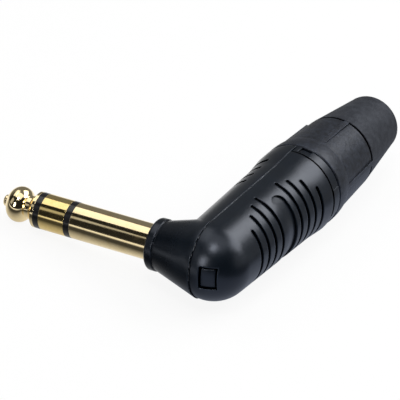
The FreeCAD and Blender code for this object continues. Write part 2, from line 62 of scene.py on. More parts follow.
Sockets = bpy.types.bpy_prop_collection
Term = float | Socket
MM = 0.001
# Points closer than the weld are joined, and facets that meet past the crease keep an edge
WELD = 1e-7
CREASE = math.radians(24)
TINY = 1e-20
BLACK = (0.0, 0.0, 0.0)
WHITE = (1.0, 1.0, 1.0)


class Slot(Enum):
    """Material slots that a finish stands for."""

    GOLD = "gold_plate"
    TINNED = "tinned_brass"
    SPRING = "spring_steel"
    INSULATOR = "insulator"
    WASHER = "washer_plastic"
    HOUSING = "housing_plastic"
    CHUCK = "chuck_plastic"
    NUT = "nut_plastic"
    RUBBER = "boot_rubber"


class Body(Enum):
    """Moving bodies of the frame."""

    PLUG = "plug"
    CHUCK = "chuck"
    BOOT = "boot"


class NodeSheet:
    """Short way to write a node tree."""

    def __init__(self, tree: bpy.types.NodeTree) -> None:
        """Starts an empty tree.

        Args:
            tree: Shader or geometry node tree that is filled.
        """
        self.tree = tree
        tree.nodes.clear()

    def feed(self, node: bpy.types.Node, inputs: dict) -> None:
        """Sets or links inputs of a node.

        Args:
            node: The node.
            inputs: Socket name or number, with a value or an output socket to link.
        """
        for key, value in inputs.items():
            if isinstance(value, Socket):
                self.tree.links.new(value, node.inputs[key])
            else:
                node.inputs[key].default_value = value

    def add(self, kind: str, inputs: dict | None = None, **settings: object) -> bpy.types.Node:
        """Adds one node.

        Args:
            kind: Node type.
            inputs: Socket name or number, with a value or an output socket to link.
            settings: Properties of the node.

        Returns:
            The new node.
        """
        node = self.tree.nodes.new(kind)
        for name, value in settings.items():
            setattr(node, name, value)
        self.feed(node, inputs or {})
        return node

    def math(self, operation: str, *terms: Term) -> Socket:
        """Adds a Math node and returns its result."""
        node = self.add("ShaderNodeMath", dict(enumerate(terms)), operation=operation)
        return node.outputs[0]

    def ramp(self, value: Socket, low: float, high: float, start: float = 0.0,
             end: float = 1.0, shape: str = "LINEAR") -> Socket:
        """Maps a value from one range to another, held at both ends."""
        node = self.add("ShaderNodeMapRange", {0: value, 1: low, 2: high, 3: start, 4: end},
                        interpolation_type=shape)
        return node.outputs[0]

    def blend(self, factor: Term, first: Socket | tuple, second: Socket | tuple) -> Socket:
        """Mixes two colours by a factor."""
        node = self.add("ShaderNodeMix", {0: factor, 6: first, 7: second}, data_type="RGBA")
        return node.outputs[2]

    def split(self, place: Socket) -> Sockets:
        """Takes a vector apart into X, Y and Z."""
        return self.add("ShaderNodeSeparateXYZ", {0: place}).outputs

    def noise(self, place: Socket, scale: float, detail: float, roughness: float = 0.5) -> Socket:
        """Adds a Noise texture and returns its value."""
        node = self.add("ShaderNodeTexNoise", {"Vector": place, "Scale": scale,
                                               "Detail": detail, "Roughness": roughness})
        return node.outputs[0]

    def bump(self, height: Socket, normal: Socket, depth: float, strength: float) -> Socket:
        """Adds a Bump node and returns its normal."""
        node = self.add("ShaderNodeBump", {"Height": height, "Normal": normal,
                                           "Distance": depth, "Strength": strength})
        return node.outputs[0]


def rgba(colour: Colour) -> tuple[float, float, float, float]:
    """Colour with full alpha."""
    return (*colour, 1.0)


@dataclass(frozen=True)
class Bench:
    """Drawing frame of the plug: shaft along -X, grip along +Y, axes crossing at zero.

    The plug's own frame starts at the shoulder, where the shaft comes out of the nose. The
    plug lies on its side there, so that the collar and the ball of the tip touch the floor.
    What lies past the nose limit is turned about the shaft. The grip's centre line is off
    towards the shaft by grip_lean at the crossing, and back on +Y after grip_length. The
    band line is the groove in front of the cover's rear band, and the nut gap is what shows
    between the nut and the rubber; the finishes paint shade along both. All lengths are in metres.
    """

    shoulder: float = 11.6 * MM
    nose_limit: float = -7.2 * MM
    grip_lean: float = 0.4 * MM
    grip_length: float = 24.0 * MM
    collar_radius: float = 8.08 * MM
    ball_radius: float = 3.15 * MM
    ball_reach: float = 38.05 * MM
    band_line: float = 28.6 * MM
    band_line_width: float = 0.32 * MM
    nut_gap: float = 0.35 * MM

    @property
    def lean(self) -> float:
        """Angle by which the shaft's tip hangs down."""
        return math.asin((self.collar_radius - self.ball_radius) / self.ball_reach)

    @property
    def matrix(self) -> Matrix:
        """Move from the drawing frame to the plug's own frame."""
        return Matrix.Rotation(-self.lean, 4, "Y") @ Matrix.Translation((self.shoulder, 0, 0))

    @property
    def floor_height(self) -> float:
        """Height of the surface that the plug lies on."""
        return self.matrix.translation.z - self.collar_radius


BENCH = Bench()


@dataclass(frozen=True)
class Finish:
    """What every finish has: a name, a slot, and a Principled shader with its values.

    An edge begins and is full where the cosine between the rounded and the true normal
    has the two values of edge_turn. A finish may have a painted shade line, a dark gap round
    the grip between two places along it, and hollows with painted shade, which darken as
    less of the sky is seen past what lies within their reach.
    """

    name: str
    slot: Slot
    roughness: float
    edge_round: float
    specular: float = 0.5
    gleam: Colour = WHITE
    edge_turn: Span = (0.995, 0.85)
    painted_shade_line: Span | None = None
    painted_shade_line_blur: float = 0.07 * MM
    hollow_reach: float = 0.0
    hollow_sky: Span = (0.5, 0.85)
    hollow_least: float = 0.08

    @property
    def material(self) -> bpy.types.Material:
        """The finish's material, made at its first use."""
        return bpy.data.materials.get(self.name) or self.new_material()

    def new_material(self) -> bpy.types.Material:
        """Builds the material.

        Returns:
            The new material.
        """
        material = bpy.data.materials.new(self.name)
        material.use_nodes = True
        sheet = NodeSheet(material.node_tree)
        place = sheet.add("ShaderNodeTexCoord").outputs["Object"]
        shader = sheet.add("ShaderNodeBsdfPrincipled", {
            "Specular IOR Level": self.specular, "Specular Tint": rgba(self.gleam)})
        self.dress(sheet, shader, place)
        sheet.add("ShaderNodeOutputMaterial", {0: shader.outputs[0]})
        return material

    def dress(self, sheet: NodeSheet, shader: bpy.types.Node, place: Socket) -> None:
        """Sets colour, roughness and relief.

        Args:
            sheet: Tree of the material.
            shader: Its Principled shader.
            place: Object coordinates.
        """
        raise NotImplementedError

    def soft_edge(self, sheet: NodeSheet) -> tuple[Socket, Socket]:
        """Rounds the edges in the shading.

        Args:
            sheet: Tree of the material.

        Returns:
            The rounded normal, and how strongly a place is an edge from 0 to 1.
        """
        rounded = sheet.add("ShaderNodeBevel", {"Radius": self.edge_round}, samples=6)
        true_normal = sheet.add("ShaderNodeNewGeometry").outputs["Normal"]
        alike = sheet.add("ShaderNodeVectorMath", {0: rounded.outputs[0], 1: true_normal},
                          operation="DOT_PRODUCT")
        return rounded.outputs[0], sheet.ramp(alike.outputs["Value"], *self.edge_turn)

    def openness(self, sheet: NodeSheet, shader: bpy.types.Node, place: Socket) -> Term:
        """Paints shade into the hollows and the shade line, and takes the gloss out of them.

        Args:
            sheet: Tree of the material.
            shader: Its Principled shader.
            place: Object coordinates.

        Returns:
            How open a place is, from 0 deep in the painted shade to 1 on an open face.
        """
        clear = 1.0
        # Painted shade: dark and without gloss along the line round the grip
        if self.painted_shade_line:
            along = sheet.split(place)[1]
            first, last = self.painted_shade_line
            blur = self.painted_shade_line_blur
            clear = sheet.math("MAXIMUM", sheet.ramp(along, first + blur, first - blur),
                               sheet.ramp(along, last - blur, last + blur))
        # Painted shade: darker and less glossy in hollows that see less sky
        if self.hollow_reach:
            sky = sheet.add("ShaderNodeAmbientOcclusion", {"Distance": self.hollow_reach},
                            samples=8).outputs["AO"]
            clear = sheet.math("MULTIPLY", clear, sheet.ramp(
                sky, *self.hollow_sky, self.hollow_least, 1.0))
        gloss = sheet.math("MULTIPLY", clear, self.specular)
        sheet.feed(shader, {"Specular IOR Level": gloss})
        return clear


@dataclass(frozen=True)
class MouldedPlastic(Finish):
    """Satin moulded plastic with a spark-eroded grain, faint flow clouds and lighter edges,
    partly worn and partly a painted highlight.

    Some plastics are also polished towards the shaft, mottled or dimpled. A span of a
    noise says where its effect begins and where it is full.
    """

    colour: Colour = (0.02, 0.02, 0.024)
    cloud: float = 0.35
    cloud_scale: float = 0.35 / MM
    cloud_span: Span = (0.3, 0.7)
    grain_size: float = 0.16 * MM
    grain_depth: float = 0.01 * MM
    grain_span: Span = (0.3, 0.75)
    grain_tone: Span = (0.86, 1.16)
    edge_tone: float = 2.2
    edge_least: float = 0.2
    rub: float = 0.06
    rub_scale: float = 1.1 / MM
    rub_span: Span = (0.35, 0.65)
    polish: Span | None = None
    polish_roughness: float = 0.26
    polish_tone: float = 0.7
    mottle: float = 0.0
    mottle_span: Span = (0.38, 0.64)
    dimple: float = 0.0

    def dress(self, sheet: NodeSheet, shader: bpy.types.Node, place: Socket) -> None:
        """Sets colour, roughness and relief.

        Args:
            sheet: Tree of the material.
            shader: Its Principled shader.
            place: Object coordinates.
        """
        rounded, edge = self.soft_edge(sheet)
        cloud = sheet.noise(place, self.cloud_scale, detail=3.0, roughness=0.55)
        grain = sheet.noise(place, 1.0 / self.grain_size, detail=2.0)
        rubbed = sheet.noise(place, self.rub_scale, detail=4.0, roughness=0.7)
        tone = sheet.ramp(cloud, *self.cloud_span, 1 - self.cloud / 2, 1 + self.cloud / 2)
        fleck = sheet.ramp(grain, *self.grain_span, *self.grain_tone)
        # Edges lighten up to edge_tone times the colour: partly wear, partly a painted highlight
        # on ridges and rims
        wear_and_highlight = sheet.math("MULTIPLY", edge, sheet.ramp(
            rubbed, *self.rub_span, self.edge_least, 1.0))
        lift = sheet.math("MULTIPLY_ADD", wear_and_highlight, self.edge_tone - 1, 1.0)
        level = sheet.math("MULTIPLY", sheet.math("MULTIPLY", tone, fleck), lift)
        rough = sheet.math("MULTIPLY_ADD", rubbed, self.rub, self.roughness - self.rub / 2)
        if self.polish:
            plain = sheet.ramp(sheet.split(place)[0], *self.polish, shape="SMOOTHSTEP")
            rough = sheet.math("ADD", rough, sheet.ramp(
                plain, 0, 1, self.polish_roughness - self.roughness, 0.0))
            level = sheet.math("MULTIPLY", level, sheet.ramp(plain, 0, 1, self.polish_tone, 1.0))
        # Painted shade in the hollows and along the shade line
        if self.painted_shade_line or self.hollow_reach:
            level = sheet.math("MULTIPLY", level, self.openness(sheet, shader, place))
        if self.mottle:
            level = sheet.math("MULTIPLY", level, sheet.ramp(
                rubbed, *self.mottle_span, 1 - self.mottle / 2, 1 + self.mottle / 2))
        if self.dimple:
            rounded = sheet.bump(rubbed, rounded, self.dimple, strength=1.0)
        colour = sheet.add("ShaderNodeVectorMath", {0: self.colour, "Scale": level},
                           operation="SCALE")
        relief = sheet.bump(grain, rounded, self.grain_depth, strength=0.5)
        sheet.feed(shader, {"Base Color": colour.outputs[0], "Roughness": rough,
                            "Normal": relief})


@dataclass(frozen=True)
class TurnedMetal(Finish):
    """Turned and plated metal with fine tool lines round the shaft and thin tarnish."""

    colour: Colour = (0.96, 0.79, 0.47)
    tarnish: Colour = (0.80, 0.60, 0.29)
    line_size: float = 0.05 * MM
    line_depth: float = 0.002 * MM
    line_stretch: float = 0.02
    stain_scale: float = 0.6 / MM
    stain_span: Span = (0.5, 0.75)
    stain_most: float = 0.6
    stain_on_edge: float = 0.3
    stain_roughness: float = 0.08
    rub: float = 0.08
    rub_scale: float = 7.0 / MM

    def dress(self, sheet: NodeSheet, shader: bpy.types.Node, place: Socket) -> None:
        """Sets colour, roughness and relief.

        Args:
            sheet: Tree of the material.
            shader: Its Principled shader.
            place: Object coordinates.
        """
        rounded, edge = self.soft_edge(sheet)
        upright = sheet.add("ShaderNodeMapping", {"Vector": place,
                                                  "Rotation": (0, BENCH.lean, 0)})
        stretched = sheet.add("ShaderNodeMapping", {
            "Vector": upright.outputs[0],
            "Scale": (1.0, self.line_stretch, self.line_stretch)})
        lines = sheet.noise(stretched.outputs[0], 1.0 / self.line_size, detail=1.0)
        stain = sheet.noise(place, self.stain_scale, detail=5.0, roughness=0.65)
        rubbed = sheet.noise(place, self.rub_scale, detail=2.0)
        dull = sheet.math("MULTIPLY", sheet.ramp(stain, *self.stain_span, 0.0, self.stain_most),
                          sheet.ramp(edge, 0, 1, 1.0, self.stain_on_edge))
        colour = sheet.blend(dull, rgba(self.colour), rgba(self.tarnish))
        rough = sheet.math("MULTIPLY_ADD", rubbed, self.rub, self.roughness - self.rub / 2)
        rough = sheet.math("MULTIPLY_ADD", dull, self.stain_roughness, rough)
        relief = sheet.bump(lines, rounded, self.line_depth, strength=0.35)
        sheet.feed(shader, {"Metallic": 1.0, "Base Color": colour, "Roughness": rough,
                            "Normal": relief})


@dataclass(frozen=True)
class Rubber(Finish):
    """Soft dull rubber with a fine skin, pale dust, a little sheen and a black painted shade line
    by the nut.
    """

    colour: Colour = (0.0145, 0.0165, 0.0225)
    dust: Colour = (0.055, 0.060, 0.072)
    dust_scale: float = 0.8 / MM
    dust_span: Span = (0.42, 0.66)
    dust_most: float = 0.6
    dust_on_edge: float = 0.35
    dust_roughness: float = 0.15
    grain_size: float = 0.12 * MM
    grain_depth: float = 0.012 * MM
    grain_span: Span = (0.35, 0.65)
    grain_least: float = 0.5
    dimple: float = 0.09 * MM
    sheen: float = 0.02

    def dress(self, sheet: NodeSheet, shader: bpy.types.Node, place: Socket) -> None:
        """Sets colour, roughness and relief.

        Args:
            sheet: Tree of the material.
            shader: Its Principled shader.
            place: Object coordinates.
        """
        rounded, edge = self.soft_edge(sheet)
        grain = sheet.noise(place, 1.0 / self.grain_size, detail=3.0)
        patch = sheet.noise(place, self.dust_scale, detail=4.0, roughness=0.6)
        dusty = sheet.math("MULTIPLY", sheet.ramp(patch, *self.dust_span, 0.0, self.dust_most),
                           sheet.ramp(grain, *self.grain_span, self.grain_least, 1.0))
        dusty = sheet.math("MAXIMUM", dusty, sheet.math("MULTIPLY", edge, self.dust_on_edge))
        colour = sheet.blend(dusty, rgba(self.colour), rgba(self.dust))
        # Painted shade: black along the line where the rubber meets the nut
        colour = sheet.blend(self.openness(sheet, shader, place), rgba(BLACK), colour)
        rough = sheet.math("MULTIPLY_ADD", dusty, self.dust_roughness, self.roughness)
        uneven = sheet.bump(patch, rounded, self.dimple, strength=1.0)
        relief = sheet.bump(grain, uneven, self.grain_depth, strength=0.5)
        sheet.feed(shader, {"Sheen Weight": self.sheen, "Base Color": colour,
                            "Roughness": rough, "Normal": relief})


# Tint of the gloss on housing and boot, and how far a painted shade line's dark reaches past its
# gap
COOL_GLEAM = (0.80, 0.86, 1.0)
LINE_EDGE = 0.19 * MM
RUBBER_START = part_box("rubber_boot")[0][1]
# Painted shade lines: black round the gap between nut and rubber and along the band groove, wider
# than the modelled gaps
NUT_SHADE_LINE = (RUBBER_START - BENCH.nut_gap - LINE_EDGE, RUBBER_START + LINE_EDGE)
BAND_SHADE_LINE = (BENCH.band_line - LINE_EDGE,
             BENCH.band_line + BENCH.band_line_width + LINE_EDGE / 2)
# Housing and cover: hollow_reach paints shade into the grooves, the cover's shade line paints the
# band groove black, and edge_tone lightens edges as wear and painted highlight
HOUSING_FINISH = MouldedPlastic(
    name="satin_housing", slot=Slot.HOUSING, roughness=0.3, edge_round=0.3 * MM,
    gleam=COOL_GLEAM, colour=(0.0038, 0.0066, 0.0108), edge_tone=4.5,
    polish=(4.0 * MM, 7.5 * MM), hollow_reach=0.9 * MM, hollow_sky=(0.66, 0.97))
COVER_FINISH = replace(HOUSING_FINISH, name="satin_cover", hollow_reach=0.7 * MM,
                       hollow_sky=(0.5, 0.85), painted_shade_line=BAND_SHADE_LINE)
# The seam's line is lighter and mottled: partly rubbed plastic, partly painted glints
SEAM_FINISH = MouldedPlastic(
    name="rubbed_seam_painted_glints", slot=Slot.HOUSING, roughness=0.26, edge_round=0.02 * MM,
    gleam=COOL_GLEAM, colour=(0.085, 0.09, 0.10), cloud=1.2, mottle=1.6)
# Nut: painted shade in its hollows and black painted shade at its gap to the rubber; edge_tone
# lights up the panel ridges as wear and painted highlight
NUT_FINISH = MouldedPlastic(
    name="satin_nut", slot=Slot.NUT, roughness=0.42, edge_round=0.12 * MM,
    gleam=COOL_GLEAM, colour=(0.0120, 0.0145, 0.0210), edge_tone=6.5, cloud=0.5, rub=0.12,
    mottle=1.2, dimple=0.07 * MM, painted_shade_line=NUT_SHADE_LINE, hollow_reach=0.5 * MM)
CHUCK_FINISH = MouldedPlastic(
    name="chuck_plastic_finish", slot=Slot.CHUCK, roughness=0.4, edge_round=0.1 * MM,
    gleam=COOL_GLEAM, colour=(0.045, 0.045, 0.05))
WASHER_FINISH = MouldedPlastic(
    name="washer_plastic_finish", slot=Slot.WASHER, roughness=0.38, edge_round=0.06 * MM,
    colour=(0.62, 0.6, 0.54), edge_tone=1.05, cloud=0.1)
BAND_FINISH = MouldedPlastic(
    name="band_plastic", slot=Slot.INSULATOR, roughness=0.22, edge_round=0.05 * MM,
    colour=(0.008, 0.008, 0.009), edge_tone=1.4, grain_depth=0.003 * MM)
GOLD_FINISH = TurnedMetal(
    name="gilded_brass", slot=Slot.GOLD, roughness=0.085, edge_round=0.07 * MM)
RING_FINISH = TurnedMetal(
    name="gilded_ring_brass", slot=Slot.GOLD, roughness=0.095, edge_round=0.07 * MM,
    colour=(0.96, 0.74, 0.32), tarnish=(0.80, 0.54, 0.16))
TINNED_FINISH = TurnedMetal(
    name="tinned_brass_finish", slot=Slot.TINNED, roughness=0.28, edge_round=0.05 * MM,
    colour=(0.78, 0.77, 0.74), tarnish=(0.6, 0.56, 0.48))
STEEL_FINISH = TurnedMetal(
    name="spring_steel_finish", slot=Slot.SPRING, roughness=0.24, edge_round=0.05 * MM,
    colour=(0.56, 0.57, 0.58), tarnish=(0.4, 0.39, 0.38))
# Rubber: black painted shade line where it meets the nut
RUBBER_FINISH = Rubber(
    name="dull_rubber", slot=Slot.RUBBER, roughness=0.55, edge_round=0.06 * MM,
    specular=0.4, gleam=COOL_GLEAM, painted_shade_line=NUT_SHADE_LINE)


def shown_piece(name: str, mesh: bpy.types.Mesh, finish: Finish,
                body: Body) -> bpy.types.Object:
    """Puts a finished mesh into the scene.

    Args:
        name: Name of the piece.
        mesh: Its mesh, in the plug's own frame.
        finish: Its finish.
        body: Body that it moves with.

    Returns:
        The new object.
    """
    piece = bpy.data.objects.new(name, mesh)
    bpy.context.scene.collection.objects.link(piece)
    mesh.materials.clear()
    mesh.materials.append(finish.material)
    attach(piece, body.value)
    return piece


def join_up(mesh: bpy.types.Mesh, face_out: bool = False) -> None:
    """Merges the doubled points of a mesh and smooths it.

    Args:
        mesh: The mesh.
        face_out: Whether its faces are turned outwards too.
    """
    form = bmesh.new()
    form.from_mesh(mesh)
    bmesh.ops.remove_doubles(form, verts=form.verts, dist=WELD)
    if face_out:
        bmesh.ops.recalc_face_normals(form, faces=form.faces)
    form.to_mesh(mesh)
    form.free()
    mesh.shade_smooth()


def unit(vectors: np.ndarray) -> np.ndarray:
    """Scales vectors to a length of one, and leaves those of no length."""
    return vectors / np.maximum(np.linalg.norm(vectors, axis=-1, keepdims=True), TINY)


def corner_angles(corners: np.ndarray) -> np.ndarray:
    """Angles of triangles at their corners.

    Args:
        corners: Places of the corners, as triangles by 3 by 3.

    Returns:
        The angles, as triangles by 3.
    """
    ahead = np.roll(corners, -1, axis=1) - corners
    back = np.roll(corners, 1, axis=1) - corners
    size = np.linalg.norm(ahead, axis=2) * np.linalg.norm(back, axis=2)
    return np.arccos(np.clip((ahead * back).sum(2) / np.maximum(size, TINY), -1, 1))


def swung_normals(corners: np.ndarray, on_shaft: bool) -> np.ndarray:
    """Swings each facet's normal round the axis of its turned form, to each corner.

    A facet that faces neither away from the axis nor towards it keeps its own normal.

    Args:
        corners: Places of the corners in the drawing frame, as triangles by 3 by 3.
        on_shaft: Whether the whole piece is turned about the shaft.

    Returns:
        The normals, as triangles by 3 by 3.
    """
    swing_limit = math.cos(math.radians(14))
    least_radial = 0.2
    flat = unit(np.cross(corners[:, 1] - corners[:, 0], corners[:, 2] - corners[:, 0]))
    about = np.tile([1.0, 0.0, 0.0] if on_shaft else [0.0, 1.0, 0.0], (len(flat), 1))
    about[corners[..., 0].max(1) < BENCH.nose_limit] = (1.0, 0.0, 0.0)
    share = np.clip(corners[..., 1] / BENCH.grip_length, 0, 1)
    arm = corners.copy()
    arm[..., 0] += BENCH.grip_lean * (1 - share) * about[:, None, 1]
    arm = unit(arm - (arm * about[:, None]).sum(2, keepdims=True) * about[:, None])
    axial = (flat * about).sum(1, keepdims=True)
    radial = np.sqrt(np.maximum(1 - axial ** 2, 0))[:, None]
    match = (arm * flat[:, None]).sum(2, keepdims=True) / np.maximum(radial, TINY)
    swung = np.sign(match) * radial * arm + axial[:, None] * about[:, None]
    fits = (np.abs(match) > swing_limit) & (radial > least_radial)
    return np.where(fits, swung, flat[:, None])


def set_turned_normals(mesh: bpy.types.Mesh, on_shaft: bool) -> None:
    """Gives each corner the normal of the turned form that its facet stands for.

    The normals that meet at a point are averaged by angle, unless they form a crease.

    Args:
        mesh: Mesh of triangles, in the plug's own frame.
        on_shaft: Whether the whole piece is turned about the shaft.
    """
    turn = np.array(BENCH.matrix.to_3x3())
    places = np.empty(len(mesh.vertices) * 3, np.float32)
    mesh.vertices.foreach_get("co", places)
    places = (places.reshape(-1, 3) - np.array(BENCH.matrix.translation)) @ turn
    links = np.empty(len(mesh.loops), np.int32)
    mesh.loops.foreach_get("vertex_index", links)
    corners = places[links.reshape(-1, 3)]
    normals = swung_normals(corners, on_shaft).reshape(-1, 3)
    weighted = normals * corner_angles(corners).reshape(-1, 1)
    order = np.argsort(links, kind="stable")
    starts = np.flatnonzero(np.diff(links[order], prepend=-1))
    blended = np.empty_like(normals)
    for ring in np.split(order, starts[1:]):
        here = normals[ring]
        blended[ring] = (here @ here.T > math.cos(CREASE)) @ weighted[ring]
    mesh.normals_split_custom_set((unit(blended) @ turn.T).tolist())


@dataclass(frozen=True)
class SolidPiece:
    """A piece that keeps the form of its solid, joined up and smoothed."""

    node: str
    name: str
    finish: Finish
    body: Body = Body.PLUG
    on_shaft: bool = False

    def build(self) -> bpy.types.Object:
        """Copies the solid's mesh and dresses it.

        Returns:
            The piece that stands for the solid.
        """
        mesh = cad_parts[self.node].data.copy()
        mesh.name = self.name
        join_up(mesh)
        set_turned_normals(mesh, self.on_shaft)
        piece = shown_piece(self.name, mesh, self.finish, self.body)
        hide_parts(self.node)
        return piece


@dataclass(frozen=True)
class GrownPiece:
    """A piece of the plug body that a geometry node tree makes from its sizes."""

    name: str
    finish: Finish

    def sizes(self) -> dict[str, float]:
        """Value of each of the tree's inputs, by the input's name."""
        raise NotImplementedError

    def shape(self, sheet: NodeSheet, given: Sockets) -> Socket:
        """Makes the shape in the drawing frame.

        Args:
            sheet: Geometry node tree.
            given: The tree's inputs.

        Returns:
            The shape.
        """
        raise NotImplementedError

    def tree(self) -> bpy.types.NodeTree:
        """Builds the tree round the shape.

        Returns:
            The geometry node tree, with its sizes as named inputs.
        """
        tree = bpy.data.node_groups.new(self.name + "_tree", "GeometryNodeTree")
        for name, value in self.sizes().items():
            kind = "NodeSocketInt" if isinstance(value, int) else "NodeSocketFloat"
            tree.interface.new_socket(name, in_out="INPUT", socket_type=kind)
        tree.interface.new_socket("Geometry", in_out="OUTPUT",
                                  socket_type="NodeSocketGeometry")
        sheet = NodeSheet(tree)
        shape = self.shape(sheet, sheet.add("NodeGroupInput").outputs)
        real = sheet.add("GeometryNodeRealizeInstances", {0: shape})
        dressed = sheet.add("GeometryNodeSetMaterial", {"Geometry": real.outputs[0],
                                                        "Material": self.finish.material})
        sheet.add("NodeGroupOutput", {0: dressed.outputs[0]})
        return tree

    def grow(self) -> bpy.types.Mesh:
        """Runs the tree and keeps its result as a plain mesh.

        Returns:
            The plain mesh, with its faces outwards.
        """
        seed = bpy.data.objects.new(self.name + "_seed", bpy.data.meshes.new(self.name + "_seed"))
        bpy.context.scene.collection.objects.link(seed)
        modifier = seed.modifiers.new("grow", "NODES")
        modifier.node_group = self.tree()
        sizes = self.sizes()
        for item in modifier.node_group.interface.items_tree:
            if item.in_out == "INPUT":
                modifier[item.identifier] = sizes[item.name]
        bpy.context.view_layer.update()
        shape = seed.evaluated_get(bpy.context.evaluated_depsgraph_get())
        mesh = bpy.data.meshes.new_from_object(shape)
        mesh.name = self.name
        bpy.data.objects.remove(seed)
        join_up(mesh, face_out=True)
        mesh.set_sharp_from_angle(angle=CREASE)
        return mesh

    def build(self) -> bpy.types.Object:
        """Grows the mesh and puts it on the plug body.

        Returns:
            The piece.
        """
        mesh = self.grow()
        mesh.transform(BENCH.matrix)
        return shown_piece(self.name, mesh, self.finish, Body.PLUG)


@dataclass(frozen=True)
class NeckThread(GrownPiece):
    """Right-handed thread of the neck, a ridge that winds round its core.

    It runs out at both ends, over a share of its length.
    """

    name: str = "neck_thread"
    finish: Finish = HOUSING_FINISH
    first: float = 35.0 * MM
    last: float = 40.4 * MM
    pitch: float = 1.5 * MM
    core_radius: float = 6.05 * MM
    crest_radius: float = 6.5 * MM
    foot_width: float = 1.15 * MM
    crest_width: float = 0.35 * MM
    steps_per_turn: int = 72
    run_out: float = 0.06

    def sizes(self) -> dict[str, float]:
        """Value of each of the tree's inputs, by the input's name."""
        return {"Start": self.first, "Length": self.last - self.first, "Pitch": self.pitch,
                "Core Radius": self.core_radius,
                "Height": self.crest_radius - self.core_radius,
                "Foot": self.foot_width, "Crest": self.crest_width,
                "Run-out": self.run_out, "Steps": self.steps_per_turn}

    def shape(self, sheet: NodeSheet, given: Sockets) -> Socket:
        """Winds a strip with four rows of points: foot, crest, crest and foot.

        Args:
            sheet: Geometry node tree.
            given: The tree's inputs.

        Returns:
            The wound strip.
        """
        turns = sheet.math("DIVIDE", given["Length"], given["Pitch"])
        steps = sheet.math("MULTIPLY", turns, given["Steps"])
        # The rows lie at -1.5, -0.5, 0.5 and 1.5 across the strip
        strip = sheet.add("GeometryNodeMeshGrid", {"Size X": 1.0, "Size Y": 3.0,
                                                   "Vertices X": steps, "Vertices Y": 4})
        parts = sheet.split(sheet.add("GeometryNodeInputPosition").outputs[0])
        share = sheet.math("ADD", parts[0], 0.5)
        angle = sheet.math("MULTIPLY", sheet.math("MULTIPLY", share, turns), 2 * math.pi)
        crest = sheet.math("LESS_THAN", sheet.math("ABSOLUTE", parts[1]), 1.0)
        to_end = sheet.math("MINIMUM", share, sheet.math("SUBTRACT", 1.0, share))
        fade = sheet.math("MINIMUM", sheet.math("DIVIDE", to_end, given["Run-out"]), 1.0)
        rise = sheet.math("MULTIPLY", sheet.math("MULTIPLY", crest, given["Height"]), fade)
        radius = sheet.math("ADD", given["Core Radius"], rise)
        width = sheet.math("ADD", given["Foot"], sheet.math(
            "MULTIPLY", crest, sheet.math("SUBTRACT", given["Crest"], given["Foot"])))
        side = sheet.math("MULTIPLY", sheet.math("SIGN", parts[1]), 0.5)
        along = sheet.math("ADD", sheet.math("MULTIPLY", share, given["Length"]),
                           sheet.math("MULTIPLY_ADD", side, width, given["Start"]))
        x = sheet.math("MULTIPLY", radius, sheet.math("SINE", angle))
        z = sheet.math("MULTIPLY", radius, sheet.math("COSINE", angle))
        spot = sheet.add("ShaderNodeCombineXYZ", {0: x, 1: along, 2: z})
        wound = sheet.add("GeometryNodeSetPosition", {"Geometry": strip.outputs["Mesh"],
                                                      "Position": spot.outputs[0]})
        return wound.outputs[0]


